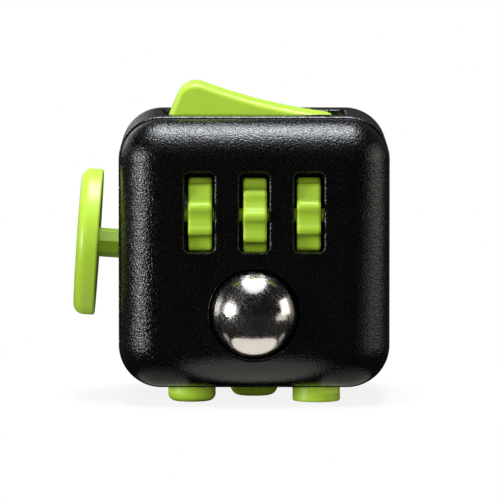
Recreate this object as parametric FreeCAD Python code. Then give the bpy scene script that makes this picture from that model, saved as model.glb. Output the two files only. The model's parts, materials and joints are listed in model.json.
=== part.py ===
import FreeCAD
import Part
import math
import os

from FreeCAD import Vector

# Fidget cube: a palm-sized cube with a different finger toy on each face.
#   front  -Y  three thumb gears and a rolling, clicking steel ball
#   left   -X  thumb joystick on a two-axis gimbal
#   top    +Z  bistable rocker
#   bottom -Z  five push buttons
#   right  +X  oval thumb rest
#   rear   +Y  spinning dial
# Everything is drawn about the cube's centre, then lifted by CENTRE_HEIGHT, so that the
# origin lies on the surface that the button tips stand on. All sizes are millimetres.

# ---------------------------------------------------------------- driving dimensions
HALF = 16.5                 # half of the 33 mm cube
EDGE_R = 5.2                # radius of every outer edge
WALL = 2.0
INNER = HALF - WALL         # inside faces of the shell
SEAM = 11.0                 # the covers meet the housing at y = -SEAM and y = +SEAM
SEAM_STEP = 0.25            # the covers are this much smaller than the housing all round
SEAM_BEVEL = 0.12
LIP_GAP = 0.06              # between a cover's lip and the housing
LIP_THICK = 0.9
LIP_REACH = 0.9
LIP_ROOT = 1.2              # length of the lip's root inside the cover
BEAD_R = 0.24
BEAD_LENGTH = 6.0

BUTTON_PROUD = 1.9
CENTRE_HEIGHT = HALF + BUTTON_PROUD

SCREW_R = 0.7
SCREW_HEAD_R = 1.2
SCREW_HEAD = 0.8
PILOT_R = SCREW_R + 0.02
CLEAR_HOLE_R = SCREW_R + 0.08

# front face: gears
GEAR_PITCH = 6.65           # distance between neighbouring slots
SLOT_WIDTH = 3.65
SLOT_HEIGHT = 9.7
SLOT_Z = 5.2
SLOT_CORNER_R = 0.65
RIM_R = 0.3                 # rounding of slot, ball, rocker and dial openings
SMALL_RIM_R = 0.15          # rounding of the joystick and button holes
GEAR_Y = -12.7              # gear axle line
GEAR_Z = 4.64
GEAR_WIDTH = 2.9
GEAR_LOBES = 9
GEAR_TIP_R = 4.62
GEAR_ROOT_R = 3.88
LOBE_R = 0.73
GEAR_GAP = 0.25             # free space round the lobes
GEAR_EDGE_R = 0.4
STUB_R = 0.85
STUB_REACH = 2.85           # half length over both stub axles
STUB_GAP = 0.03
# node name: (slot number from the middle, side play in its slot, angle of its foremost lobe)
GEARS = {
    "gear_left": (-1, 0.1, 17.0),
    "gear_middle": (0, 0.1, 1.6),
    "gear_right": (1, -0.03, 18.5),
}
RIB_BACK = -11.8            # the axle ribs end here and the retainer plate starts
RETAINER_THICK = 1.0
RETAINER_HALF = 13.4
RETAINER_SCREW_X = 11.9

# front face: ball
BALL_R = 5.7
BALL_Y = -13.9
BALL_Z = -7.13
BALL_HOLE_R = 5.5
BALL_GAP = 0.08
BALL_TRAVEL = 0.8
CUP_R = 6.0
GUIDE_R = 6.1
TUBE_R = 6.9
TUBE_END = -9.0
CUP_RIM_Y = -12.2
CUP_BACK_Y = -6.9
CUP_STEM_R = 1.4
CUP_STEM_Y = -5.85
BALL_FLOOR_Y = -4.9
BALL_BACK_Y = -3.9
BALL_EAR_X = 8.6
EAR_R = 1.6

# left face: joystick, built straight along -X from its pivot and then tilted
PIVOT_X = -12.0
STICK_TILT = 3.8            # the slack stick rests with its outer end this far up
DOME_R = 4.0
STICK_HOLE_R = 3.2
SEAT_GAP = 0.05
SEAT_BOSS_R = 4.9
SEAT_BOSS_X = -13.9
SHAFT_R = 1.8
SHAFT_SIDES = 8
SHAFT_ROLL = 10.9           # angle of the first corner above level
CAP_START = 7.1             # distance from the pivot to the disc's inner face
CAP_THICK = 2.65
CAP_R = 9.0
CAP_DISH = 0.8
CAP_OUTER_EDGE_R = 1.25
SPIGOT_R = 1.1
SPIGOT_LENGTH = 1.4
RING_IN_R = 4.3
RING_OUT_R = 5.5
RING_HALF = 0.6
PIN_R = 0.5
BRACKET_R = 7.6
BRACKET_IN_R = 6.4
BRACKET_FLOOR_X = -8.4
BRACKET_END_X = -7.4
BRACKET_EAR_AT = 6.6

# top face: rocker, built level about its pivot and then tipped
OPENING_HALF_X = 11.2
OPENING_HALF_Y = 5.6
OPENING_CORNER_R = 1.0
ROCKER_Z = 13.6             # pivot height
ROCKER_TIP = 14.0           # tipped this far to either side
ROCKER_TOP_X = 10.06        # where end face and top would meet, before rounding
ROCKER_TOP_Z = 5.1          # above the pivot
ROCKER_MID_Z = 4.35
ROCKER_FOOT_X = 10.87
ROCKER_FOOT_Z = -0.6
ROCKER_HALF_Y = 5.1
ROCKER_CORNER_R = 2.5
ROCKER_EDGE_R = 0.7
ROCKER_WALL = 1.2
ROCKER_ROOF_Z = 3.15
LUG_R = 2.2
ROCKER_PIN_R = 0.8
CAM_FLAT = 5.0              # distance from the pivot to the cam's two flats
CAM_HALF_X = 3.2
CAM_HALF_Y = 1.2
CRADLE_HALF_Y = 6.8
CRADLE_WALL = 1.2
CRADLE_FLOOR_Z = 6.2
LEAF_HALF_X = 6.4

# bottom face: buttons
BUTTON_PITCH = 7.6
BUTTON_R = 2.9
BUTTON_HOLE_R = 3.02
FLANGE_R = 3.3
FLANGE_BOTTOM = -INNER + 0.05
FLANGE_TOP = -13.8
NUB_TOP = -13.3
PLATE_BOTTOM = -12.6
PLATE_TOP = -11.8
# node suffix: (x in pitches, y in pitches, tip rounding, clicks)
BUTTONS = {
    "front_left": (-1, -1, 0.9, True),
    "front_right": (1, -1, 0.2, True),
    "centre": (0, 0, 1.15, True),
    "rear_left": (-1, 1, 0.35, False),
    "rear_right": (1, 1, 0.35, False),
}
PLATE_SCREWS = [(-9.3, 0.0), (9.3, 0.0), (0.0, 8.3)]

# right face: thumb rest
DISH_DEPTH = 1.8
DISH_HALF_Y = 8.5
DISH_HALF_Z = 11.0
DISH_SAG = 6.0              # the ellipsoid's half thickness
DISH_EDGE_R = 0.9
PAD_X = 12.7

# rear face: dial
DIAL_R = 10.2
DIAL_POCKET_R = 10.5
POCKET_Y = 15.3
DIAL_BACK_Y = 15.4
DIAL_FRONT_Y = 17.6
DIAL_SHAFT_R = 2.0
DIAL_BORE_R = 2.05
DIAL_PAD_Y = 13.6
DIAL_SHAFT_END = 12.6
DIMPLE_AT = 5.2
DIMPLE_BALL_R = 4.2
DIMPLE_DEPTH = 1.3

X, Y, Z = Vector(1, 0, 0), Vector(0, 1, 0), Vector(0, 0, 1)
CENTRE = Vector(0, 0, 0)


# ---------------------------------------------------------------- helpers
def around(middle, half):
    """Pair of limits."""
    return middle - half, middle + half


def block(x, y, z):
    """Box between pairs of limits."""
    return Part.makeBox(x[1] - x[0], y[1] - y[0], z[1] - z[0], Vector(x[0], y[0], z[0]))


def rod(radius, start, end):
    """Cylinder from one point to another."""
    span = end.sub(start)
    return Part.makeCylinder(radius, span.Length, start, span)


def rounded_cube(half, half_y, radius):
    """Block that measures the same in x and z, with every edge rounded."""
    cube = block((-half, half), (-half_y, half_y), (-half, half))
    return cube.makeFillet(radius, cube.Edges)


def rounded_prism(centre, direction, half_u, half_v, radius, start, end):
    """Rounded rectangle swept along X, Y or Z between start and end.
    half_u and half_v run along the other two axes, in X, Y, Z order."""
    if direction is X:
        box = block((start, end), around(centre.y, half_u), around(centre.z, half_v))
    elif direction is Y:
        box = block(around(centre.x, half_u), (start, end), around(centre.z, half_v))
    else:
        box = block(around(centre.x, half_u), around(centre.y, half_v), (start, end))
    along = [e for e in box.Edges if abs(e.tangentAt(e.FirstParameter).dot(direction)) > 0.99]
    return box.makeFillet(radius, along)


def edges_where(shape, test):
    """The shape's edges whose bounding box passes the test."""
    return [e for e in shape.Edges if test(e.BoundBox)]


def in_plane(low, high, value, tolerance=1e-4):
    return abs(low - value) < tolerance and abs(high - value) < tolerance


def revolved(points_or_edges, origin, axis):
    """Solid of revolution from a closed wire of edges."""
    return Part.Face(Part.Wire(points_or_edges)).revolve(origin, axis, 360)


def outline(points):
    """Closed polygon as a list of edges."""
    return [Part.makeLine(a, b) for a, b in zip(points, points[1:] + points[:1])]


def coil(origin, direction, mean_r, wire_r, length, turns):
    """Round-wire compression spring starting at origin."""
    pitch = (length - 2 * wire_r) / turns
    helix = Part.makeHelix(pitch, pitch * turns, mean_r)
    ring = Part.Wire(Part.makeCircle(wire_r, Vector(mean_r, 0, 0), Y))
    spring = Part.Wire(helix).makePipeShell([ring], True, True)
    spring.translate(Vector(0, 0, wire_r))
    spring.Placement = FreeCAD.Placement(origin, FreeCAD.Rotation(Z, direction)).multiply(spring.Placement)
    return spring


def screw(head_seat, into, length):
    """Pan-head screw with a cross recess. head_seat is where its head meets the held part."""
    shank = Part.makeCylinder(SCREW_R, length, CENTRE, Z)
    head = Part.makeCylinder(SCREW_HEAD_R, SCREW_HEAD, Vector(0, 0, -SCREW_HEAD), Z)
    rim = edges_where(head, lambda b: in_plane(b.ZMin, b.ZMax, -SCREW_HEAD))
    head = head.makeFillet(0.3, rim)
    slot_half, slot_wide = 0.75, 0.16
    deep = (-SCREW_HEAD - 0.1, -SCREW_HEAD + 0.45)
    cross = block((-slot_half, slot_half), (-slot_wide, slot_wide), deep)
    cross = cross.fuse(block((-slot_wide, slot_wide), (-slot_half, slot_half), deep))
    made = head.fuse(shank).cut(cross)
    made.Placement = FreeCAD.Placement(head_seat, FreeCAD.Rotation(Z, into))
    return made


def spun_shell(origin, axis, radius, rise, thick):
    """Thin domed disc: a spherical cap whose open side lies at origin and which bulges along axis."""
    big = (radius * radius + rise * rise) / (2 * rise)
    centre = Vector(0, 0, rise - big)
    dome = Part.makeSphere(big, centre).cut(Part.makeSphere(big - thick, centre))
    dome = dome.common(Part.makeCylinder(radius + 1, rise + 1, CENTRE, Z))
    dome.Placement = FreeCAD.Placement(origin, FreeCAD.Rotation(Z, axis))
    return dome


def button_centres():
    return [Vector(i * BUTTON_PITCH, j * BUTTON_PITCH, 0) for i, j, _, _ in BUTTONS.values()]


# ---------------------------------------------------------------- casing
def shell_slice(low, high, step=0.0):
    """The hollow rounded cube between two y planes, its outer edge bevelled where it meets a seam.
    step makes it smaller on its four long sides."""
    outer = HALF - step
    shell = rounded_cube(outer, HALF, EDGE_R - step).cut(rounded_cube(INNER, INNER, EDGE_R - WALL))
    part = shell.common(block((-HALF, HALF), (low, high), (-HALF, HALF)))
    seam = edges_where(part, lambda b: any(in_plane(b.YMin, b.YMax, y) for y in (-SEAM, SEAM)))
    return part.makeChamfer(SEAM_BEVEL, [e for e in seam if reach_from_y_axis(e, outer) > outer - WALL / 2])


def reach_from_y_axis(edge, half):
    """How far the middle of an edge lies from the Y axis, measured so that every point on the outline of
    the rounded square of that half size reads half."""
    middle = edge.valueAt((edge.FirstParameter + edge.LastParameter) / 2)
    corner = half - EDGE_R
    beyond = Vector(max(abs(middle.x) - corner, 0), 0, max(abs(middle.z) - corner, 0))
    return corner + beyond.Length


def lip(side):
    """Thin collar on a cover, with a snap bead on each of its sides. side is -1 front, +1 rear."""
    outer = INNER - LIP_GAP
    near, far, root = SEAM * side, (SEAM - LIP_REACH) * side, (SEAM + LIP_ROOT) * side
    span, base = sorted((near, far)), sorted((near, root))
    corner_r = EDGE_R - WALL
    collar = rounded_prism(CENTRE, Y, outer, outer, corner_r - LIP_GAP, *span)
    collar = collar.fuse(rounded_prism(CENTRE, Y, INNER + 0.1, INNER + 0.1, corner_r, *base))
    hole = outer - LIP_THICK
    collar = collar.cut(rounded_prism(CENTRE, Y, hole, hole, corner_r - LIP_THICK, base[0] - 5, span[1] + 5))
    for bead in beads(side, BEAD_R):
        collar = collar.fuse(bead)
    for centre in button_centres():
        stay_clear = FLANGE_R + 0.25
        collar = collar.cut(Part.makeCylinder(stay_clear, 4, centre + Vector(0, 0, -HALF), Z))
    return collar


def beads(side, radius):
    """Ridges along the lip's left, right and top sides, as full rods centred just inside its outer face."""
    y = (SEAM - 0.5 * LIP_REACH) * side
    at = INNER - LIP_GAP - 0.08
    half = BEAD_LENGTH / 2
    rods = [rod(radius, Vector(at * s, y, -half), Vector(at * s, y, half)) for s in (-1, 1)]
    rods.append(rod(radius, Vector(-half, y, at), Vector(half, y, at)))
    return rods


def slot_centre(number):
    return Vector(number * GEAR_PITCH, 0, SLOT_Z)


def on_front_opening(box):
    """Outer edges of the gear slots and the ball's hole."""
    return in_plane(box.YMin, box.YMax, -HALF, 1e-3) and max(abs(box.XMin), abs(box.XMax)) < 9.5


def front_cover():
    cover = shell_slice(-HALF, -SEAM, SEAM_STEP)
    inner_face = -INNER
    through = (-HALF - 1, -INNER + 1)
    for number in (-1, 0, 1):
        slot = rounded_prism(slot_centre(number), Y, SLOT_WIDTH / 2, SLOT_HEIGHT / 2, SLOT_CORNER_R, *through)
        left, right = (Vector(x, GEAR_Y, GEAR_Z) for x in around(number * GEAR_PITCH, SLOT_WIDTH / 2))
        cover = cover.cut(slot).cut(rod(GEAR_TIP_R + GEAR_GAP, left, right))
    cover = cover.cut(rod(BALL_HOLE_R, Vector(0, -HALF - 1, BALL_Z), Vector(0, inner_face + 1, BALL_Z)))
    cover = cover.makeFillet(RIM_R, edges_where(cover, on_front_opening))
    cover = cover.fuse(axle_ribs())
    tube = rod(TUBE_R, Vector(0, inner_face, BALL_Z), Vector(0, TUBE_END, BALL_Z))
    cover = cover.fuse([tube, lip(-1)])
    for x in (-BALL_EAR_X, BALL_EAR_X):
        cover = cover.fuse(rod(EAR_R, Vector(x, inner_face, BALL_Z), Vector(x, TUBE_END, BALL_Z)))
    ball_centre = Vector(0, BALL_Y, BALL_Z)
    pocket = Part.makeSphere(BALL_R + BALL_GAP, ball_centre)
    pocket = pocket.fuse(rod(BALL_R + BALL_GAP, ball_centre, Vector(0, TUBE_END + 1, BALL_Z)))
    pocket = pocket.fuse(rod(GUIDE_R, Vector(0, CUP_RIM_Y - 0.9, BALL_Z), Vector(0, TUBE_END + 1, BALL_Z)))
    cover = cover.cut(pocket)
    pilot_depth = 3.2
    for s in (-1, 1):
        at = Vector(s * BALL_EAR_X, TUBE_END, BALL_Z)
        cover = cover.cut(rod(PILOT_R, at + Y * 0.5, at - Y * pilot_depth))
        at = Vector(s * RETAINER_SCREW_X, RIB_BACK, GEAR_Z)
        cover = cover.cut(rod(PILOT_R, at + Y * 0.5, at - Y * pilot_depth))
    return cover.removeSplitter()


def rib_spans():
    """x limits of the four blocks beside and between the slots."""
    half = SLOT_WIDTH / 2
    inner = [(i * GEAR_PITCH + half, (i + 1) * GEAR_PITCH - half) for i in (-1, 0)]
    side = GEAR_PITCH + half
    return [(-RETAINER_HALF, -side), *inner, (side, RETAINER_HALF)]


def axle_ribs():
    """Blocks that carry the gears' stub axles in notches open to the rear."""
    z = (GEAR_Z - 2.6, GEAR_Z + 4.2)
    ribs = [block(x, (-INNER - 0.2, RIB_BACK), z) for x in rib_spans()]
    reach = GEAR_PITCH + STUB_REACH + 0.6
    notch_r = STUB_R + STUB_GAP
    notch = rod(notch_r, Vector(-reach, GEAR_Y, GEAR_Z), Vector(reach, GEAR_Y, GEAR_Z))
    notch = notch.fuse(block((-reach, reach), (GEAR_Y, RIB_BACK + 1), (GEAR_Z - notch_r, GEAR_Z + notch_r)))
    return ribs[0].fuse(ribs[1:]).cut(notch)


def thumb_rest_cutter():
    """Ellipsoid that leaves an oval dish in the right face."""
    deep = DISH_SAG - DISH_DEPTH
    shrink = math.sqrt(1 - (deep / DISH_SAG) ** 2)
    ball = Part.makeSphere(1.0)
    scale = FreeCAD.Matrix()
    scale.A11, scale.A22, scale.A33 = DISH_SAG, DISH_HALF_Y / shrink, DISH_HALF_Z / shrink
    ellipsoid = ball.transformGeometry(scale)
    ellipsoid.translate(Vector(HALF + deep, 0, 0))
    return ellipsoid


def on_thumb_rest_rim(box):
    in_face = in_plane(box.XMin, box.XMax, HALF, 1e-3)
    return in_face and abs(box.YMax) < DISH_HALF_Y + 1 and abs(box.ZMax) < DISH_HALF_Z + 0.3


def on_rocker_opening(box):
    in_face = in_plane(box.ZMin, box.ZMax, HALF, 1e-3)
    return in_face and max(abs(box.YMin), abs(box.YMax)) < OPENING_HALF_Y + 0.1


def on_round_hole(box):
    """Outer edges of the joystick's hole and the buttons' holes."""
    stick_widest, button_widest = 2 * STICK_HOLE_R + 0.1, 2 * BUTTON_HOLE_R + 0.1
    left = in_plane(box.XMin, box.XMax, -HALF, 1e-3) and max(box.YLength, box.ZLength) < stick_widest
    bottom = in_plane(box.ZMin, box.ZMax, -HALF, 1e-3) and max(box.XLength, box.YLength) < button_widest
    return left or bottom


def main_housing():
    body = shell_slice(-SEAM, SEAM)
    pad = rounded_prism(CENTRE, X, 9.6, 11.8, 3.0, PAD_X, INNER + 0.5)
    body = body.fuse(pad).cut(thumb_rest_cutter())
    body = body.makeFillet(DISH_EDGE_R, edges_where(body, on_thumb_rest_rim))
    opening = rounded_prism(CENTRE, Z, OPENING_HALF_X, OPENING_HALF_Y, OPENING_CORNER_R, INNER - 1, HALF + 1)
    body = body.cut(opening)
    body = body.cut(rod(STICK_HOLE_R, Vector(-HALF - 1, 0, 0), Vector(-INNER + 1, 0, 0)))
    for centre in button_centres():
        body = body.cut(Part.makeCylinder(BUTTON_HOLE_R, 4, centre + Vector(0, 0, -HALF - 1), Z))

    body = body.makeFillet(RIM_R, edges_where(body, on_rocker_opening))
    body = body.makeFillet(SMALL_RIM_R, edges_where(body, on_round_hole))
    seat = rod(SEAT_BOSS_R, Vector(-INNER - 0.5, 0, 0), Vector(SEAT_BOSS_X, 0, 0))
    body = body.fuse(seat.cut(rod(STICK_HOLE_R, Vector(-HALF, 0, 0), Vector(SEAT_BOSS_X + 1, 0, 0))))
    body = body.cut(Part.makeSphere(DOME_R + SEAT_GAP, Vector(PIVOT_X, 0, 0)))
    for at in bracket_ear_points(-INNER - 0.5):
        body = body.fuse(rod(EAR_R - 0.1, at, Vector(-13.0, at.y, at.z)))
        body = body.cut(rod(PILOT_R, Vector(-HALF + 0.7, at.y, at.z), Vector(-12.5, at.y, at.z)))
    for x, y in PLATE_SCREWS:
        body = body.fuse(rod(EAR_R - 0.1, Vector(x, y, -INNER - 0.5), Vector(x, y, PLATE_BOTTOM)))
        body = body.cut(rod(PILOT_R, Vector(x, y, -HALF + 0.9), Vector(x, y, PLATE_BOTTOM + 1)))
    for at in cradle_screw_points(INNER):
        body = body.cut(rod(PILOT_R, at - Z, at + Z * 1.4))
    for side in (-1, 1):
        for groove in beads(side, BEAD_R + 0.06):
            body = body.cut(groove)
    return body.removeSplitter()


def on_dial_pocket(box):
    return in_plane(box.YMin, box.YMax, HALF, 1e-3) and box.XLength < 2 * DIAL_POCKET_R + 0.1


def rear_cover():
    cover = shell_slice(SEAM, HALF, SEAM_STEP)
    pad = rod(DIAL_POCKET_R + 0.9, Vector(0, DIAL_PAD_Y, 0), Vector(0, INNER + 0.3, 0))
    cover = cover.fuse(pad)
    cover = cover.cut(rod(DIAL_POCKET_R, Vector(0, POCKET_Y, 0), Vector(0, HALF + 1, 0)))
    cover = cover.makeFillet(RIM_R, edges_where(cover, on_dial_pocket))
    cover = cover.fuse(lip(1))
    cover = cover.cut(rod(DIAL_BORE_R, Vector(0, DIAL_PAD_Y - 1, 0), Vector(0, HALF, 0)))
    return cover.removeSplitter()


# ---------------------------------------------------------------- gears
def gear_outline():
    """Closed wire of alternating convex lobes and concave valleys, all tangent, in the YZ plane about
    the origin, with a lobe pointing along -Y."""
    half_step = math.pi / GEAR_LOBES
    lobe_at = GEAR_TIP_R - LOBE_R
    gap = lobe_at ** 2 + GEAR_ROOT_R ** 2 - 2 * lobe_at * GEAR_ROOT_R * math.cos(half_step) - LOBE_R ** 2
    valley_r = gap / (2 * (LOBE_R - GEAR_ROOT_R + lobe_at * math.cos(half_step)))
    valley_at = GEAR_ROOT_R + valley_r

    def polar(radius, angle):
        return Vector(0, -radius * math.cos(angle), radius * math.sin(angle))

    def meeting(lobe_angle, valley_angle):
        lobe, valley = polar(lobe_at, lobe_angle), polar(valley_at, valley_angle)
        return lobe + (valley - lobe) * (LOBE_R / (LOBE_R + valley_r))

    edges = []
    for i in range(GEAR_LOBES):
        here = 2 * i * half_step
        before = meeting(here, here - half_step)
        after = meeting(here, here + half_step)
        following = meeting(here + 2 * half_step, here + half_step)
        edges.append(Part.Arc(before, polar(GEAR_TIP_R, here), after).toShape())
        edges.append(Part.Arc(after, polar(GEAR_ROOT_R, here + half_step), following).toShape())
    return Part.Wire(edges)


def gear(number, side_play, phase):
    wheel = Part.Face(gear_outline()).extrude(X * GEAR_WIDTH)
    wheel.translate(X * (-GEAR_WIDTH / 2))
    flat = edges_where(wheel, lambda b: b.XLength < 1e-4)
    wheel = wheel.makeFillet(GEAR_EDGE_R, flat)
    wheel = wheel.fuse(rod(STUB_R, X * -STUB_REACH, X * STUB_REACH))
    wheel.rotate(CENTRE, X, -phase)
    wheel.translate(Vector(number * GEAR_PITCH + side_play, GEAR_Y, GEAR_Z))
    return wheel


def gear_retainer():
    """Comb that closes the axle notches from behind, open below each gear."""
    back = RIB_BACK + RETAINER_THICK
    plate = block((-RETAINER_HALF, RETAINER_HALF), (RIB_BACK, back), (GEAR_Z - 2.6, GEAR_Z + 5.8))
    for number in (-1, 0, 1):
        x = number * GEAR_PITCH
        half = SLOT_WIDTH / 2 + 0.05
        window_z = (GEAR_Z - 5, GEAR_Z + GEAR_TIP_R + GEAR_GAP)
        plate = plate.cut(block(around(x, half), (RIB_BACK - 1, back + 1), window_z))
    for s in (-1, 1):
        at = Vector(s * RETAINER_SCREW_X, 0, GEAR_Z)
        plate = plate.cut(rod(CLEAR_HOLE_R, at + Y * (RIB_BACK - 1), at + Y * (back + 1)))
    return plate


def gear_retainer_screws():
    back = RIB_BACK + RETAINER_THICK
    return [screw(Vector(s * RETAINER_SCREW_X, back, GEAR_Z), -Y, 3.4) for s in (-1, 1)]


def gear_click_spring():
    """Leaf with a finger behind each gear, whose bent tip rests in the valley nearest the gear's rear."""
    thick = 0.15
    seat = RIB_BACK + RETAINER_THICK
    top = GEAR_Z + 5.5
    leaf = block((-8.5, 8.5), (seat, seat + thick), (GEAR_Z + GEAR_TIP_R + GEAR_GAP, top))
    for number, side_play, phase in GEARS.values():
        x = number * GEAR_PITCH + side_play
        wide = around(x, 0.8)
        step = 360 / GEAR_LOBES
        past_rear = (180 - phase) % step - step / 2
        valley = math.radians(180 - past_rear)
        valley_z = GEAR_Z + GEAR_TIP_R * math.sin(valley)
        valley_y = GEAR_Y - GEAR_TIP_R * math.cos(valley)
        back = GEAR_Y + GEAR_TIP_R + 0.3
        leaf = leaf.fuse(block(wide, (seat, back + thick), (top - thick, top)))
        leaf = leaf.fuse(block(wide, (back, back + thick), (valley_z - 0.6, top)))
        root, tip = back + thick / 2, valley_y - 0.3
        nose = [(root, valley_z - 0.45), (tip, valley_z), (root, valley_z + 0.45)]
        wedge = Part.Face(Part.Wire(outline([Vector(wide[0], y, z) for y, z in nose])))
        leaf = leaf.fuse(wedge.extrude(X * (wide[1] - wide[0])))
    return leaf.removeSplitter()


# ---------------------------------------------------------------- ball
def about_ball_axis(r, y):
    return Vector(r, y, BALL_Z)


def roller_ball():
    return Part.makeSphere(BALL_R, Vector(0, BALL_Y, BALL_Z))


def ball_cup():
    seat_r = BALL_R + 0.06
    rim = math.sqrt(seat_r ** 2 - (CUP_RIM_Y - BALL_Y) ** 2)
    profile = [(rim, CUP_RIM_Y), (CUP_R, CUP_RIM_Y), (CUP_R, CUP_BACK_Y), (CUP_STEM_R, CUP_BACK_Y),
               (CUP_STEM_R, CUP_STEM_Y), (0, CUP_STEM_Y), (0, BALL_Y + seat_r)]
    path = [about_ball_axis(r, y) for r, y in profile]
    middle = about_ball_axis(seat_r * math.sin(math.pi / 4), BALL_Y + seat_r * math.cos(math.pi / 4))
    edges = [Part.Arc(path[-1], middle, path[0]).toShape()]
    edges += [Part.makeLine(a, b) for a, b in zip(path, path[1:])]
    return revolved(edges, about_ball_axis(0, 0), Y)


def ball_spring():
    wire_r, mean_r, turns = 0.18, 3.35, 2.75
    length = BALL_FLOOR_Y - CUP_BACK_Y - 0.02
    return coil(about_ball_axis(0, CUP_BACK_Y + 0.01), Y, mean_r, wire_r, length, turns)


def ball_snap_dome():
    rise = BALL_FLOOR_Y - CUP_STEM_Y - 0.03
    return spun_shell(about_ball_axis(0, BALL_FLOOR_Y - 0.005), -Y, 2.4, rise, 0.12)


def ball_housing():
    bar_y = (TUBE_END, TUBE_END + 1.0)
    bar = rounded_prism(Vector(0, 0, BALL_Z), Y, BALL_EAR_X + EAR_R, EAR_R, EAR_R - 0.01, *bar_y)
    body = rod(TUBE_R, about_ball_axis(0, TUBE_END), about_ball_axis(0, BALL_BACK_Y)).fuse(bar)
    body = body.cut(rod(GUIDE_R, about_ball_axis(0, TUBE_END - 1), about_ball_axis(0, BALL_FLOOR_Y)))
    for x in (-BALL_EAR_X, BALL_EAR_X):
        body = body.cut(rod(CLEAR_HOLE_R, about_ball_axis(x, TUBE_END - 1), about_ball_axis(x, TUBE_END + 2)))
    return body


def ball_housing_screws():
    return [screw(about_ball_axis(s * BALL_EAR_X, TUBE_END + 1.0), -Y, 4.0) for s in (-1, 1)]


# ---------------------------------------------------------------- joystick
def tilted(shape):
    """Turns a straight-built joystick piece to the slack angle at which it rests."""
    shape.rotate(Vector(PIVOT_X, 0, 0), Y, STICK_TILT)
    return shape


def stick_point(along, radius):
    """A point that far outward from the pivot and that far from the stick's axis."""
    return Vector(PIVOT_X - along, 0, radius)


def joystick_stem():
    base = rod(DOME_R, stick_point(-RING_HALF, 0), stick_point(0, 0))
    dome = Part.makeSphere(DOME_R, stick_point(0, 0))
    dome = dome.common(block((PIVOT_X - DOME_R - 1, PIVOT_X), (-5, 5), (-5, 5)))
    shaft = joystick_shaft()
    spigot = rod(SPIGOT_R, stick_point(CAP_START, 0), stick_point(CAP_START + SPIGOT_LENGTH, 0))
    tail = rod(1.2, stick_point(-2.0, 0), stick_point(-RING_HALF, 0))
    stem = base.fuse([dome, shaft, spigot, tail])
    stem = stem.fuse(rod(PIN_R, Vector(PIVOT_X, 0, -5.2), Vector(PIVOT_X, 0, 5.2)))
    return tilted(stem.removeSplitter())


def joystick_shaft():
    """Eight-sided shaft between the dome and the disc, its corners slightly rounded."""
    corners = []
    for i in range(SHAFT_SIDES):
        angle = math.radians(SHAFT_ROLL + 360 * i / SHAFT_SIDES)
        corners.append(stick_point(CAP_START, 0) + Vector(0, -math.cos(angle), math.sin(angle)) * SHAFT_R)
    shaft = Part.Face(Part.Wire(outline(corners))).extrude(X * (CAP_START - 2))
    return shaft.makeFillet(0.12, [e for e in shaft.Edges if abs(e.tangentAt(e.FirstParameter).x) > 0.99])


def joystick_cap():
    """Thumb disc: flat inside, dished outside, with a rounded outer edge and a blind bore for the stem."""
    inner, outer = CAP_START, CAP_START + CAP_THICK
    dish_r = CAP_R - CAP_OUTER_EDGE_R - 0.35
    disc = rod(CAP_R, stick_point(inner, 0), stick_point(outer, 0))
    for edge_r, at in ((0.3, inner), (CAP_OUTER_EDGE_R, outer)):
        rim = edges_where(disc, lambda b: in_plane(b.XMin, b.XMax, PIVOT_X - at))
        disc = disc.makeFillet(edge_r, rim)
    ball_r = (dish_r ** 2 + CAP_DISH ** 2) / (2 * CAP_DISH)
    disc = disc.cut(Part.makeSphere(ball_r, stick_point(outer - CAP_DISH + ball_r, 0)))
    bore_end = stick_point(inner + SPIGOT_LENGTH + 0.05, 0)
    return tilted(disc.cut(rod(SPIGOT_R + 0.02, stick_point(inner - 1, 0), bore_end)))


def joystick_gimbal_ring():
    ring = rod(RING_OUT_R, stick_point(-RING_HALF, 0), stick_point(RING_HALF, 0))
    for s in (-1, 1):
        ring = ring.fuse(rod(PIN_R, Vector(PIVOT_X, s * 5.2, 0), Vector(PIVOT_X, s * 6.9, 0)))
    ring = ring.cut(rod(RING_IN_R, stick_point(-2, 0), stick_point(2, 0)))
    ring = ring.cut(rod(PIN_R + 0.04, Vector(PIVOT_X, 0, -6), Vector(PIVOT_X, 0, 6)))
    return tilted(ring)


def joystick_spring():
    wire_r = 0.18
    start = BRACKET_FLOOR_X - 0.01
    return coil(Vector(start, 0, 0), -X, 2.3, wire_r, start - (PIVOT_X + RING_HALF + 0.2), 3.0)


def bracket_ear_points(x):
    return [Vector(x, s * BRACKET_EAR_AT, s * BRACKET_EAR_AT) for s in (-1, 1)]


def joystick_bracket():
    cup = rod(BRACKET_R, Vector(-INNER, 0, 0), Vector(BRACKET_END_X, 0, 0))
    for at in bracket_ear_points(-13.0):
        cup = cup.fuse(rod(EAR_R, at, at + X * 1.2))
        inward = Vector(at.x, at.y * 0.7, at.z * 0.7)
        cup = cup.fuse(rod(EAR_R, inward, inward + X * 1.2))
    cup = cup.cut(rod(BRACKET_IN_R, Vector(-INNER - 1, 0, 0), Vector(BRACKET_FLOOR_X, 0, 0)))
    cup = cup.cut(rod(PIN_R + 0.04, Vector(PIVOT_X, -9, 0), Vector(PIVOT_X, 9, 0)))
    for at in bracket_ear_points(-13.0):
        cup = cup.cut(rod(EAR_R, Vector(-INNER - 1, at.y, at.z), at))
        cup = cup.cut(rod(CLEAR_HOLE_R, at - X, at + X * 3))
    return cup


def joystick_bracket_screws():
    return [screw(at, -X, 3.5) for at in bracket_ear_points(-11.8)]


# ---------------------------------------------------------------- rocker
def tipped(shape):
    """Tips a level-built rocker piece to its rest position, left end up."""
    shape.rotate(CENTRE, Y, ROCKER_TIP)
    shape.translate(Z * ROCKER_Z)
    return shape


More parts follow.
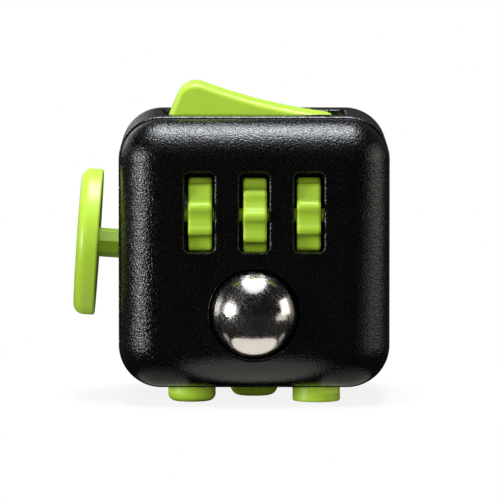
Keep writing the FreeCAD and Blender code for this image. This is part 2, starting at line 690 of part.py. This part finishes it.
def rocker():
    y0 = -ROCKER_HALF_Y
    foot_l, top_l = Vector(-ROCKER_FOOT_X, y0, ROCKER_FOOT_Z), Vector(-ROCKER_TOP_X, y0, ROCKER_TOP_Z)
    foot_r, top_r = Vector(ROCKER_FOOT_X, y0, ROCKER_FOOT_Z), Vector(ROCKER_TOP_X, y0, ROCKER_TOP_Z)
    edges = [Part.makeLine(foot_l, top_l), Part.Arc(top_l, Vector(0, y0, ROCKER_MID_Z), top_r).toShape(),
             Part.makeLine(top_r, foot_r), Part.makeLine(foot_r, foot_l)]
    body = Part.Face(Part.Wire(edges)).extrude(Y * (2 * ROCKER_HALF_Y))
    corners = edges_where(body, lambda b: b.YLength > ROCKER_HALF_Y and b.ZMin > ROCKER_TOP_Z - 0.01)
    body = body.makeFillet(ROCKER_CORNER_R, corners)
    sides = edges_where(body, lambda b: b.YLength < 1e-4 and b.ZMax > 0)
    body = body.makeFillet(ROCKER_EDGE_R, sides)
    hollow_x, hollow_y = ROCKER_TOP_X - ROCKER_WALL, ROCKER_HALF_Y - ROCKER_WALL
    hollow = rounded_prism(CENTRE, Z, hollow_x, hollow_y, 1.0, ROCKER_FOOT_Z - 1, ROCKER_ROOF_Z)
    body = body.cut(hollow)
    lugs = [rod(LUG_R, Y * (s * hollow_y), Y * (s * ROCKER_HALF_Y)) for s in (-1, 1)]
    body = body.fuse([*lugs, rocker_cam()])
    body = body.cut(rod(ROCKER_PIN_R + 0.04, Y * -8, Y * 8))
    return tipped(body.removeSplitter())


def rocker_cam():
    """Rib whose two flats lie level on the leaf spring at either end of the travel."""
    slope = math.radians(ROCKER_TIP)
    point = -CAM_FLAT / math.cos(slope)
    shoulder = point + CAM_HALF_X * math.tan(slope)
    roof = ROCKER_ROOF_Z + 0.2
    half = CAM_HALF_X
    corners = [(0, point), (half, shoulder), (half, roof), (-half, roof), (-half, shoulder)]
    face = Part.Face(Part.Wire(outline([Vector(x, -CAM_HALF_Y, z) for x, z in corners])))
    return face.extrude(Y * (2 * CAM_HALF_Y))


def rocker_pin():
    half = CRADLE_HALF_Y
    return rod(ROCKER_PIN_R, Vector(0, -half, ROCKER_Z), Vector(0, half, ROCKER_Z))


def leaf_limits():
    top = ROCKER_Z - CAM_FLAT - 0.03
    return top - 0.3, top


def rocker_leaf_spring():
    return rounded_prism(CENTRE, Z, LEAF_HALF_X, 1.6, 0.6, *leaf_limits())


def cradle_screw_points(z):
    return [Vector(sx * 3.4, sy * 8.95, z) for sx in (-1, 1) for sy in (-1, 1)]


def rocker_cradle():
    inside = CRADLE_HALF_Y - CRADLE_WALL
    floor_top = CRADLE_FLOOR_Z + 1.0
    cradle = block((-7.0, 7.0), (-CRADLE_HALF_Y, CRADLE_HALF_Y), (CRADLE_FLOOR_Z, floor_top))
    for s in (-1, 1):
        wall = sorted((s * inside, s * CRADLE_HALF_Y))
        flange = sorted((s * inside, s * 10.0))
        post = sorted((s * 5.2, s * 6.6))
        cradle = cradle.fuse(block((-5.0, 5.0), wall, (CRADLE_FLOOR_Z, INNER)))
        cradle = cradle.fuse(block((-5.0, 5.0), flange, (INNER - 1.2, INNER)))
        cradle = cradle.fuse(block(post, (-1.8, 1.8), (CRADLE_FLOOR_Z, leaf_limits()[0])))
    cradle = cradle.cut(rod(ROCKER_PIN_R + 0.02, Vector(0, -9, ROCKER_Z), Vector(0, 9, ROCKER_Z)))
    for at in cradle_screw_points(INNER):
        cradle = cradle.cut(rod(CLEAR_HOLE_R, at - Z * 3, at + Z))
    return cradle.removeSplitter()


def rocker_cradle_screws():
    return [screw(at, Z, 2.5) for at in cradle_screw_points(INNER - 1.2)]


# ---------------------------------------------------------------- buttons
def button(i, j, tip_r):
    centre = Vector(i * BUTTON_PITCH, j * BUTTON_PITCH, 0)
    tip = Part.makeCylinder(BUTTON_R, FLANGE_BOTTOM + CENTRE_HEIGHT, Z * -CENTRE_HEIGHT, Z)
    lowest = edges_where(tip, lambda b: in_plane(b.ZMin, b.ZMax, -CENTRE_HEIGHT))
    tip = tip.makeFillet(tip_r, lowest)
    flange = Part.makeCylinder(FLANGE_R, FLANGE_TOP - FLANGE_BOTTOM, Z * FLANGE_BOTTOM, Z)
    nub = Part.makeCylinder(0.9, NUB_TOP - FLANGE_TOP + 0.1, Z * (FLANGE_TOP - 0.1), Z)
    made = tip.fuse([flange, nub]).removeSplitter()
    made.translate(centre)
    return made


def button_dome(i, j, clicks):
    """Metal snap dome under a clicking button, hollow silicone dome under a silent one."""
    gap = 0.02
    at = Vector(i * BUTTON_PITCH, j * BUTTON_PITCH, PLATE_BOTTOM - gap / 2)
    rise = PLATE_BOTTOM - NUB_TOP - gap
    if clicks:
        return spun_shell(at, -Z, 2.2, rise, 0.12)
    outer = Part.makeCone(2.2, 1.3, rise, CENTRE, -Z)
    inner = Part.makeCone(1.8, 0.9, rise - 0.25, CENTRE, -Z)
    dome = outer.cut(inner)
    dome.translate(at)
    return dome


def button_plate():
    plate = rounded_prism(CENTRE, Z, 11.2, 10.0, 1.5, PLATE_BOTTOM, PLATE_TOP)
    ball_window = block((-5.3, 5.3), (-12, BALL_BACK_Y + 0.2), (PLATE_BOTTOM - 1, PLATE_TOP + 1))
    plate = plate.cut(ball_window)
    for x, y in PLATE_SCREWS:
        plate = plate.cut(rod(CLEAR_HOLE_R, Vector(x, y, PLATE_BOTTOM - 1), Vector(x, y, PLATE_TOP + 1)))
    return plate


def button_plate_screws():
    return [screw(Vector(x, y, PLATE_TOP), -Z, 3.6) for x, y in PLATE_SCREWS]


# ---------------------------------------------------------------- dial
def dial():
    """Disc with a raised rim, a finger dimple off centre and a hollow-ended shaft."""
    disc = rod(DIAL_R, Vector(0, DIAL_BACK_Y, 0), Vector(0, DIAL_FRONT_Y, 0))
    outer = edges_where(disc, lambda b: in_plane(b.YMin, b.YMax, DIAL_FRONT_Y))
    disc = disc.makeFillet(0.6, outer)
    recess = rod(DIAL_R - 1.5, Vector(0, DIAL_FRONT_Y - 0.45, 0), Vector(0, DIAL_FRONT_Y + 1, 0))
    disc = disc.cut(recess)
    floor = DIAL_FRONT_Y - 0.45
    ball = Part.makeSphere(DIMPLE_BALL_R, Vector(0, floor + DIMPLE_BALL_R - DIMPLE_DEPTH, DIMPLE_AT))
    disc = disc.cut(ball)
    widest = 2 * (DIAL_R - 2)
    soft = edges_where(disc, lambda b: in_plane(b.YMin, b.YMax, floor, 1e-3) and b.XLength < widest)
    disc = disc.makeFillet(0.3, soft)
    disc = disc.fuse(rod(DIAL_SHAFT_R, Vector(0, DIAL_SHAFT_END, 0), Vector(0, DIAL_BACK_Y + 0.2, 0)))
    return disc.cut(rod(PILOT_R, Vector(0, DIAL_SHAFT_END - 1, 0), Vector(0, DIAL_SHAFT_END + 3.2, 0)))


def dial_spring_washer():
    """Shallow cone that presses the dial's washer away from the cover, for drag."""
    inner_r, outer_r, thick = DIAL_SHAFT_R + 0.1, 3.5, 0.25
    low, high = DIAL_SHAFT_END + 0.02, DIAL_PAD_Y - 0.02
    corners = [(inner_r, high), (outer_r, low + thick), (outer_r, low), (inner_r, high - thick)]
    return revolved(outline([Vector(r, y, 0) for r, y in corners]), CENTRE, Y)


def dial_washer():
    start, end = Vector(0, DIAL_SHAFT_END - 0.5, 0), Vector(0, DIAL_SHAFT_END, 0)
    return rod(3.7, start, end).cut(rod(CLEAR_HOLE_R, start - Y, end + Y))


def dial_screw():
    return screw(Vector(0, DIAL_SHAFT_END - 0.5, 0), Y, 3.5)


# ---------------------------------------------------------------- all nodes
def build():
    """Every node's name and shape, about the cube's centre."""
    nodes = {
        "front_cover": front_cover(),
        "main_housing": main_housing(),
        "rear_cover": rear_cover(),
        "gear_retainer": gear_retainer(),
        "gear_retainer_screws": Part.makeCompound(gear_retainer_screws()),
        "gear_click_spring": gear_click_spring(),
        "roller_ball": roller_ball(),
        "ball_cup": ball_cup(),
        "ball_spring": ball_spring(),
        "ball_snap_dome": ball_snap_dome(),
        "ball_housing": ball_housing(),
        "ball_housing_screws": Part.makeCompound(ball_housing_screws()),
        "joystick_cap": joystick_cap(),
        "joystick_stem": joystick_stem(),
        "joystick_gimbal_ring": joystick_gimbal_ring(),
        "joystick_spring": joystick_spring(),
        "joystick_bracket": joystick_bracket(),
        "joystick_bracket_screws": Part.makeCompound(joystick_bracket_screws()),
        "rocker": rocker(),
        "rocker_pin": rocker_pin(),
        "rocker_leaf_spring": rocker_leaf_spring(),
        "rocker_cradle": rocker_cradle(),
        "rocker_cradle_screws": Part.makeCompound(rocker_cradle_screws()),
        "button_plate": button_plate(),
        "button_plate_screws": Part.makeCompound(button_plate_screws()),
        "dial": dial(),
        "dial_spring_washer": dial_spring_washer(),
        "dial_washer": dial_washer(),
        "dial_screw": dial_screw(),
    }
    for name, (number, side_play, phase) in GEARS.items():
        nodes[name] = gear(number, side_play, phase)
    for name, (i, j, tip_r, clicks) in BUTTONS.items():
        nodes["button_" + name] = button(i, j, tip_r)
        kind = "snap_dome_" if clicks else "silicone_dome_"
        nodes[kind + name] = button_dome(i, j, clicks)
    return nodes


def main():
    os.makedirs("parts", exist_ok=True)
    for name, shape in build().items():
        lifted = shape.copy()
        lifted.translate(Z * CENTRE_HEIGHT)
        if not lifted.isValid() or not lifted.Solids or lifted.Volume <= 0:
            print("check", name, lifted.isValid(), len(lifted.Solids), lifted.Volume)
        lifted.exportStep("parts/" + name + ".step")


main()
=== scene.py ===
import json
import math

import bpy
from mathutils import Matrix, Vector

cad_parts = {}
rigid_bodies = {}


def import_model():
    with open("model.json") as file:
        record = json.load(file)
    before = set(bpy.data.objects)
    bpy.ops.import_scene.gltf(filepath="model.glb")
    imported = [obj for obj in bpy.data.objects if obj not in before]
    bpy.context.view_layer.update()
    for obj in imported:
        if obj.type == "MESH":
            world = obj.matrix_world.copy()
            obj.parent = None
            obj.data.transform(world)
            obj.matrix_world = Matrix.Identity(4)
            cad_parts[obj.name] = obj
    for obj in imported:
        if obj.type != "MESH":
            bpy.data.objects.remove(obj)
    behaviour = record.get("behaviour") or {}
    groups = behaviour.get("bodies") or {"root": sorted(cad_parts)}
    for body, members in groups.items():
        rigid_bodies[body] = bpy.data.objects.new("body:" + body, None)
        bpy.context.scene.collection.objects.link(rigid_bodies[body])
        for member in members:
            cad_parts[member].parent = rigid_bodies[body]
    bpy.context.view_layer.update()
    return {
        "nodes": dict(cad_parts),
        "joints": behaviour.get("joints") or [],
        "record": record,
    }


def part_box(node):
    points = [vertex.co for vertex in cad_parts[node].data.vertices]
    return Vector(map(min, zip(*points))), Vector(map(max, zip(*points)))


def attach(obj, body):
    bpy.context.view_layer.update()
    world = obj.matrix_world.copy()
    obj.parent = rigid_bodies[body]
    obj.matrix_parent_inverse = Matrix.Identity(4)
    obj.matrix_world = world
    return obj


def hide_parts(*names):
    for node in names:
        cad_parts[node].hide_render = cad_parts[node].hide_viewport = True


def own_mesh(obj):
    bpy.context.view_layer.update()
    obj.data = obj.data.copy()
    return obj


# The fidget cube's looks: materials for every CAD node, a plain studio and the camera.
# Everything is in metres, in the CAD's own frame: +Z up, the gear face towards -Y.

MM = 0.001

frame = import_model()

housing_low, housing_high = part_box("main_housing")
CUBE_CENTRE = (Vector(housing_low) + Vector(housing_high)) / 2
SLOTS = {part["node"]: part["material_slot"] for part in frame["record"]["subparts"]}


# ---------------------------------------------------------------- node helpers
class Tree:
    """Small helper for building a material's node tree."""

    def __init__(self, name):
        self.material = bpy.data.materials.new(name)
        self.material.use_nodes = True
        self.nodes = self.material.node_tree.nodes
        self.links = self.material.node_tree.links
        self.shader = self.nodes["Principled BSDF"]
        coordinates = self.add("ShaderNodeTexCoord")
        self.position = coordinates.outputs["Object"]

    def add(self, kind, **settings):
        node = self.nodes.new(kind)
        for key, value in settings.items():
            setattr(node, key, value)
        return node

    def put(self, node, **inputs):
        """Sets or links inputs by name, with _ for a space."""
        for key, value in inputs.items():
            socket = node.inputs[key.replace("_", " ")]
            if isinstance(value, bpy.types.NodeSocket):
                self.links.new(value, socket)
            else:
                socket.default_value = value
        return node

    def noise(self, scale, detail=2.0, roughness=0.5, vector=None):
        """Smooth random value about 0.5. scale is in cells per metre."""
        node = self.add("ShaderNodeTexNoise")
        self.put(node, Vector=vector or self.position, Scale=scale, Detail=detail, Roughness=roughness)
        return node.outputs["Fac"]

    def stretched(self, scale, turn=(0.0, 0.0, 0.0), shift=(0.0, 0.0, 0.0)):
        """Position, turned and then scaled unevenly, for streaks and scratches."""
        node = self.add("ShaderNodeMapping", vector_type="TEXTURE")
        inverse = [1.0 / s for s in scale]
        self.put(node, Vector=self.position, Location=shift, Rotation=turn, Scale=inverse)
        return node.outputs["Vector"]

    def ramp(self, value, low, high, out_low=0.0, out_high=1.0):
        """Maps low to high onto out_low to out_high, and holds the ends."""
        node = self.add("ShaderNodeMapRange", clamp=True)
        self.put(node, Value=value, From_Min=low, From_Max=high, To_Min=out_low, To_Max=out_high)
        return node.outputs["Result"]

    def math(self, operation, a, b=0.0):
        node = self.add("ShaderNodeMath", operation=operation)
        for socket, value in zip(node.inputs, (a, b)):
            if isinstance(value, bpy.types.NodeSocket):
                self.links.new(value, socket)
            else:
                socket.default_value = value
        return node.outputs["Value"]

    def mix(self, factor, a, b):
        """Colour a where factor is 0, colour b where it is 1."""
        node = self.add("ShaderNodeMix", data_type="RGBA")
        share = next(s for s in node.inputs if s.type == "VALUE")
        first, second = [s for s in node.inputs if s.type == "RGBA"]
        for socket, value in ((share, factor), (first, a), (second, b)):
            if isinstance(value, bpy.types.NodeSocket):
                self.links.new(value, socket)
            else:
                socket.default_value = value
        return next(s for s in node.outputs if s.type == "RGBA")

    def specks(self, cell, radius, density):
        """Mask of small round specks. cell and radius are in metres; density is the share of cells that
        hold one."""
        node = self.add("ShaderNodeTexVoronoi", voronoi_dimensions="3D", feature="F1")
        self.put(node, Vector=self.position, Scale=1.0 / cell, Randomness=1.0)
        separate = self.add("ShaderNodeSeparateColor")
        self.put(separate, Color=node.outputs["Color"])
        chosen = self.math("LESS_THAN", separate.outputs["Red"], density)
        size = self.math("MULTIPLY", separate.outputs["Green"], radius / cell)
        inside = self.math("LESS_THAN", node.outputs["Distance"], size)
        return self.math("MULTIPLY", chosen, inside)

    def edges(self, radius, low=0.02, high=0.25):
        """Mask that rises where the surface turns within the radius."""
        bevel = self.add("ShaderNodeBevel", samples=4)
        self.put(bevel, Radius=radius)
        geometry = self.add("ShaderNodeNewGeometry")
        dot = self.add("ShaderNodeVectorMath", operation="DOT_PRODUCT")
        self.links.new(bevel.outputs["Normal"], dot.inputs[0])
        self.links.new(geometry.outputs["True Normal"], dot.inputs[1])
        return self.ramp(self.math("SUBTRACT", 1.0, dot.outputs["Value"]), low, high)

    def bump(self, height, distance, strength=1.0):
        node = self.add("ShaderNodeBump")
        self.put(node, Height=height, Distance=distance, Strength=strength)
        return node.outputs["Normal"]


# ---------------------------------------------------------------- materials
def black_shell():
    """Black ABS with a fine spark-eroded grain, edges worn a little glossier and lightened in colour
    partly as wear and partly as a painted edge highlight, and a little dust.
    """
    t = Tree("black_shell")
    cloud = t.noise(260.0, 3.0)
    grain = t.noise(4300.0, 1.0, 0.6)
    fine = t.noise(5200.0, 0.0)
    worn_edge_sheen = t.math("MULTIPLY", t.edges(0.25 * MM), t.ramp(t.noise(900.0, 3.0), 0.35, 0.7))
    dust = t.specks(1.9 * MM, 0.085 * MM, 0.34)
    base = t.mix(cloud, (0.0016, 0.0016, 0.0017, 1), (0.0028, 0.0027, 0.0026, 1))
    # Edges lighter in colour: partly handling wear, partly a painted edge highlight.
    base = t.mix(t.math("MULTIPLY", worn_edge_sheen, 0.5), base, (0.02, 0.02, 0.021, 1))
    base = t.mix(t.math("MULTIPLY", dust, 0.75), base, (0.16, 0.155, 0.145, 1))
    rough = t.ramp(fine, 0.36, 0.64, 0.10, 0.33)
    rough = t.math("SUBTRACT", rough, t.math("MULTIPLY", worn_edge_sheen, 0.1))
    rough = t.math("ADD", rough, t.math("MULTIPLY", dust, 0.4))
    height = t.math("ADD", grain, t.math("MULTIPLY", t.noise(9000.0, 0.0), 0.3))
    height = t.math("ADD", height, t.math("MULTIPLY", dust, 0.8))
    t.put(t.shader, Base_Color=base, Roughness=rough, Normal=t.bump(height, 0.07 * MM, 1.0))
    t.put(t.shader, IOR=1.5)
    return t.material


def green_plastic():
    """Lime moulded plastic: semi-gloss, slightly translucent, with a soft skin ripple, edges lightened
    partly as wear and partly as a painted edge highlight, and a few dark grains of dirt."""
    t = Tree("green_plastic")
    cloud = t.noise(190.0, 2.0)
    flow = t.noise(1.0, 3.0, 0.55, vector=t.stretched((900.0, 260.0, 900.0), (0.2, 0.1, 0.5)))
    skin = t.noise(1500.0, 2.0)
    fine = t.noise(7000.0, 2.0)
    worn_edge_sheen = t.math("MULTIPLY", t.edges(0.22 * MM), t.ramp(t.noise(1100.0, 3.0), 0.4, 0.7))
    dirt = t.specks(1.3 * MM, 0.07 * MM, 0.1)
    base = t.mix(cloud, (0.41, 0.655, 0.042, 1), (0.47, 0.70, 0.056, 1))
    base = t.mix(t.math("MULTIPLY", flow, 0.25), base, (0.39, 0.62, 0.036, 1))
    # Edges lighter in colour: partly wear, partly a painted edge highlight.
    base = t.mix(t.math("MULTIPLY", worn_edge_sheen, 0.45), base, (0.62, 0.80, 0.20, 1))
    base = t.mix(t.math("MULTIPLY", dirt, 0.8), base, (0.05, 0.06, 0.02, 1))
    rough = t.ramp(skin, 0.3, 0.7, 0.32, 0.42)
    rough = t.math("ADD", rough, t.math("MULTIPLY", dirt, 0.3))
    height = t.math("ADD", t.math("MULTIPLY", skin, 0.8), t.math("MULTIPLY", fine, 0.25))
    t.put(t.shader, Base_Color=base, Roughness=rough, Normal=t.bump(height, 0.012 * MM, 0.35))
    t.put(t.shader, IOR=1.5, Subsurface_Weight=0.12, Subsurface_Scale=0.6 * MM)
    t.shader.inputs["Subsurface Radius"].default_value = (0.8, 1.0, 0.25)
    return t.material


def polished_steel():
    """Bearing steel ball: mirror polish crossed by fine handling scratches, with a few pits."""
    t = Tree("polished_steel")
    scratches = None
    turns = ((0.3, 0.9, 0.2), (1.2, 0.2, 1.9), (2.1, 1.4, 0.7), (0.7, 2.4, 2.6))
    for number, turn in enumerate(turns):
        along = t.stretched((420.0, 9000.0, 2600.0), turn, (number * MM, 0, 0))
        streak = t.noise(1.0, 2.0, 0.7, vector=along)
        line = t.ramp(streak, 0.55, 0.70)
        scratches = line if scratches is None else t.math("MAXIMUM", scratches, line)
    pits = t.specks(1.6 * MM, 0.12 * MM, 0.16)
    haze = t.noise(420.0, 3.0)
    base = t.mix(haze, (0.72, 0.68, 0.645, 1), (0.80, 0.77, 0.735, 1))
    base = t.mix(t.math("MULTIPLY", pits, 0.7), base, (0.12, 0.11, 0.10, 1))
    rough = t.ramp(haze, 0.3, 0.7, 0.07, 0.15)
    rough = t.math("ADD", rough, t.math("MULTIPLY", scratches, 0.2))
    rough = t.math("ADD", rough, t.math("MULTIPLY", pits, 0.3))
    height = t.math("SUBTRACT", t.math("MULTIPLY", scratches, -0.3), pits)
    t.put(t.shader, Base_Color=base, Roughness=rough, Normal=t.bump(height, 0.006 * MM, 0.7))
    t.put(t.shader, Metallic=1.0)
    return t.material


def moulded_plastic(name, dark, light, rough_low, rough_high):
    """Satin inner parts, with the faint swirl of a moulding and edges lightened partly as rubbing wear and
    partly as a painted edge highlight.
    """
    t = Tree(name)
    cloud = t.noise(240.0, 3.0)
    grain = t.noise(3600.0, 2.0)
    base = t.mix(cloud, dark, light)
    # Lighter edge colour: rubbing wear and a painted edge highlight.
    rubbed_edge_highlight = [min(1.0, 1.4 * channel + 0.02) for channel in light[:3]] + [1]
    base = t.mix(t.math("MULTIPLY", t.edges(0.2 * MM), 0.25), base, rubbed_edge_highlight)
    rough = t.ramp(grain, 0.3, 0.7, rough_low, rough_high)
    t.put(t.shader, Base_Color=base, Roughness=rough, Normal=t.bump(grain, 0.01 * MM, 0.4))
    return t.material


def drawn_steel(name, dark, light, streak_scale):
    """Spring wire, stamped strip and plated screws."""
    t = Tree(name)
    streak = t.noise(1.0, 3.0, 0.6, vector=t.stretched(streak_scale, (0.1, 0.4, 0.2)))
    cloud = t.noise(800.0, 3.0)
    base = t.mix(cloud, dark, light)
    rough = t.ramp(streak, 0.3, 0.7, 0.22, 0.42)
    t.put(t.shader, Base_Color=base, Roughness=rough, Normal=t.bump(streak, 0.006 * MM, 0.4))
    t.put(t.shader, Metallic=1.0)
    return t.material


def silicone():
    """Milky silicone rubber of the two silent buttons' domes."""
    t = Tree("silicone")
    cloud = t.noise(500.0, 2.0)
    skin = t.noise(4000.0, 2.0)
    base = t.mix(cloud, (0.55, 0.56, 0.56, 1), (0.66, 0.67, 0.66, 1))
    t.put(t.shader, Base_Color=base, Roughness=t.ramp(skin, 0.3, 0.7, 0.38, 0.52),
          Normal=t.bump(skin, 0.008 * MM, 0.4))
    t.put(t.shader, Subsurface_Weight=0.3, Subsurface_Scale=0.8 * MM)
    return t.material


def grey(value, blue=0.0):
    """Grey with a little more blue, or less where it is negative."""
    return (value, value, value + blue, 1)


def make_materials():
    """One material for each material slot of the record."""
    return {
        "black_shell": black_shell(),
        "green_plastic": green_plastic(),
        "polished_steel": polished_steel(),
        "black_plastic": moulded_plastic("black_plastic", grey(0.010), grey(0.018), 0.4, 0.55),
        "white_plastic": moulded_plastic("white_plastic", grey(0.62, -0.04), grey(0.72, -0.04), 0.35, 0.5),
        "spring_steel": drawn_steel("spring_steel", grey(0.42, 0.01), grey(0.56, 0.01),
                                    (300.0, 6000.0, 6000.0)),
        "plated_steel": drawn_steel("plated_steel", grey(0.52, 0.02), grey(0.68, 0.01),
                                    (2500.0, 2500.0, 600.0)),
        "silicone": silicone(),
    }


def paint_nodes(materials):
    """Gives every CAD node the material of its slot in the record."""
    for name, obj in frame["nodes"].items():
        for place in obj.material_slots:
            place.material = materials[SLOTS[name]]


def yielding_springs():
    """Gives each spring and dome that a slide joint squashes an unflattened copy on the joint's parent
    body.
    """
    for joint in frame["joints"]:
        for spring in joint.get("deforming_nodes", []):
            if joint["type"] != "slide" or not spring["mode"].startswith("scale_"):
                continue
            name, letter = spring["node"], spring["mode"][-1]
            axis = "xyz".index(letter)
            anchor, press = [0.0, 0.0, 0.0], [0.0, 0.0, 0.0]
            anchor[axis] = spring["fixed_end_" + letter + "_m"]
            press[axis] = 1.0
            node = frame["nodes"][name]
            piece = bpy.data.objects.new(name + "_pressed", node.data.copy())
            bpy.context.collection.objects.link(piece)
            piece.matrix_world = node.matrix_world
            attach(piece, joint["parent"])
            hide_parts(name)
            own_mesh(piece)


# ---------------------------------------------------------------- studio
def pale_floor():
    """Pale floor: near white with a faint shadow to the camera, and dim to everything else, as if the
    object stood on a small table in a dark room."""
    t = Tree("studio_floor")
    cloud = t.noise(30.0, 2.0)
    t.put(t.shader, Base_Color=t.mix(cloud, (0.78, 0.78, 0.77, 1), (0.82, 0.82, 0.81, 1)), Roughness=0.8)
    glow = t.put(t.add("ShaderNodeEmission"), Color=(1, 1, 1, 1), Strength=1.0)
    distance = t.add("ShaderNodeVectorMath", operation="LENGTH")
    t.links.new(t.position, distance.inputs[0])
    seen = t.add("ShaderNodeMixShader")
    clear_of_object, far_from_object, glow_near = 20 * MM, 60 * MM, 0.86
    share = t.ramp(distance.outputs["Value"], clear_of_object, far_from_object, glow_near, 1.0)
    t.put(seen, Fac=share)
    t.links.new(t.shader.outputs[0], seen.inputs[1])
    t.links.new(glow.outputs[0], seen.inputs[2])
    dim = t.put(t.add("ShaderNodeBsdfDiffuse"), Color=(0.012, 0.0115, 0.011, 1))
    choose = t.add("ShaderNodeMixShader")
    t.links.new(t.add("ShaderNodeLightPath").outputs["Is Camera Ray"], choose.inputs[0])
    t.links.new(dim.outputs[0], choose.inputs[1])
    t.links.new(seen.outputs[0], choose.inputs[2])
    t.links.new(choose.outputs[0], t.nodes["Material Output"].inputs["Surface"])
    mesh = bpy.data.meshes.new("studio_floor")
    reach = 6.0
    corners = [(-reach, -reach, 0), (reach, -reach, 0), (reach, reach, 0), (-reach, reach, 0)]
    mesh.from_pydata(corners, [], [(0, 1, 2, 3)])
    mesh.materials.append(t.material)
    floor = bpy.data.objects.new("studio_floor", mesh)
    bpy.context.collection.objects.link(floor)
    return floor


def softbox(name, centre, aim, width, height, radiance, colour, shape="RECTANGLE"):
    """Area light at a place, facing a point. radiance is its brightness seen face on."""
    data = bpy.data.lights.new(name, "AREA")
    data.shape = shape
    data.size, data.size_y = width, height
    area = width * height * (math.pi / 4 if shape == "ELLIPSE" else 1.0)
    data.energy = radiance * math.pi * area
    data.color = colour
    light = bpy.data.objects.new(name, data)
    light.location = centre
    light.rotation_mode = "QUATERNION"
    light.rotation_quaternion = (Vector(aim) - Vector(centre)).to_track_quat("-Z", "Y")
    light.visible_camera = False
    bpy.context.collection.objects.link(light)
    return light


def from_angles(azimuth, elevation, distance):
    """Offset towards a compass direction: 0 is the gear face's side, 90 is the cube's right."""
    side, up = math.radians(azimuth), math.radians(elevation)
    flat = distance * math.cos(up)
    return Vector((flat * math.sin(side), -flat * math.cos(side), distance * math.sin(up)))


COOL, WARM, NEUTRAL = (0.91, 0.95, 1.0), (1.0, 0.95, 0.88), (1.0, 1.0, 1.0)
UP = Vector((0, 0, 1))

# Lights round the cube, facing its centre: name, azimuth, elevation, distance, width, height, radiance,
# colour, shape, and whether glossy surfaces show them. Angles are in degrees and lengths in metres.
AROUND = (("left_softbox", -62, 3, 0.50, 0.17, 0.24, 19.0, NEUTRAL, "ELLIPSE", True),
          ("left_haze", -61, 4, 0.52, 0.42, 0.42, 0.55, NEUTRAL, "ELLIPSE", True),
          ("left_strip", -97, 8, 0.42, 0.10, 0.20, 0.5, WARM, "RECTANGLE", True),
          ("right_reflector", 89, 5, 0.25, 0.19, 0.17, 1.7, WARM, "RECTANGLE", True),
          ("rear_softbox", -150, 14, 0.90, 0.70, 0.30, 1.0, NEUTRAL, "RECTANGLE", True),
          ("front_fill", 0, 10, 0.90, 0.60, 0.60, 4.7, (1.0, 0.99, 0.97), "RECTANGLE", False),
          ("rear_fill", 180, 30, 0.80, 0.50, 0.30, 6.0, NEUTRAL, "RECTANGLE", False))

# Soft lights lying on the floor and facing up, like pale card: name, x, y, width, depth, radiance, colour,
# and whether glossy surfaces show them. Lengths are in millimetres.
CARDS = (("bounce_front", 0, -17.8, 17, 9.6, 0.93, WARM, True),
         ("bounce_left", -12, -12, 8, 10, 0.36, WARM, True),
         ("bounce_right", 12, -12, 8, 10, 0.36, WARM, True),
         ("disc_fill", -23, -3, 12, 30, 1.2, NEUTRAL, False))
CARD_HEIGHT = 1 * MM


def studio():
    """Soft overhead light, a softbox at the left, a warm reflector at the right, and pale cards below."""
    above = CUBE_CENTRE + Vector((0, 0.006, 0.30))
    softbox("overhead_core", above, above - UP, 0.16, 0.15, 16.5, COOL)
    above = CUBE_CENTRE + Vector((0, -0.055, 0.305))
    softbox("overhead_skirt", above, above - UP, 0.27, 0.40, 1.3, COOL, "ELLIPSE")
    for name, azimuth, elevation, distance, width, height, radiance, colour, shape, glossy in AROUND:
        place = CUBE_CENTRE + from_angles(azimuth, elevation, distance)
        light = softbox(name, place, CUBE_CENTRE, width, height, radiance, colour, shape)
        light.visible_glossy = glossy
    place = CUBE_CENTRE + Vector((0.045, -0.030, -0.0215))
    softbox("right_low_card", place, CUBE_CENTRE, 0.03, 0.035, 0.8, WARM, "ELLIPSE")
    for name, x, y, width, depth, radiance, colour, glossy in CARDS:
        place = Vector((x * MM, y * MM, CARD_HEIGHT))
        light = softbox(name, place, place + UP, width * MM, depth * MM, radiance, colour, "ELLIPSE")
        light.visible_glossy = glossy


def backdrop():
    """Plain white where the camera looks. Everything else sees a dim room, a little brighter behind."""
    world = bpy.data.worlds.new("studio")
    bpy.context.scene.world = world
    world.use_nodes = True
    nodes, links = world.node_tree.nodes, world.node_tree.links
    nodes.clear()
    position = nodes.new("ShaderNodeTexCoord")
    split = nodes.new("ShaderNodeSeparateXYZ")
    links.new(position.outputs["Generated"], split.inputs[0])
    depth = nodes.new("ShaderNodeMapRange")
    for name, value in (("From Min", 0.2), ("From Max", 0.9), ("To Min", 0.012), ("To Max", 0.08)):
        depth.inputs[name].default_value = value
    links.new(split.outputs["Y"], depth.inputs["Value"])
    room = nodes.new("ShaderNodeBackground")
    links.new(depth.outputs["Result"], room.inputs["Strength"])
    white = nodes.new("ShaderNodeBackground")
    white.inputs["Strength"].default_value = 1.0
    white.inputs["Color"].default_value = (1, 1, 1, 1)
    path = nodes.new("ShaderNodeLightPath")
    choose = nodes.new("ShaderNodeMixShader")
    out = nodes.new("ShaderNodeOutputWorld")
    links.new(path.outputs["Is Camera Ray"], choose.inputs[0])
    links.new(room.outputs[0], choose.inputs[1])
    links.new(white.outputs[0], choose.inputs[2])
    links.new(choose.outputs[0], out.inputs[0])


def camera():
    """Long lens, square on to the gear face from slightly above."""
    data = bpy.data.cameras.new("camera")
    data.sensor_width = 36.0
    data.lens = 525.9
    data.clip_start, data.clip_end = 0.05, 20.0
    eye = CUBE_CENTRE + Vector((-0.97, -897.65, 64.8)) * MM
    target = CUBE_CENTRE + Vector((-0.50, 0.0, -0.526)) * MM
    cam = bpy.data.objects.new("camera", data)
    cam.location = eye
    cam.rotation_mode = "QUATERNION"
    cam.rotation_quaternion = (target - eye).to_track_quat("-Z", "Y")
    bpy.context.collection.objects.link(cam)
    bpy.context.scene.camera = cam


# ---------------------------------------------------------------- build
camera()
paint_nodes(make_materials())
yielding_springs()
pale_floor()
studio()
backdrop()
bpy.context.scene.view_settings.view_transform = "Standard"
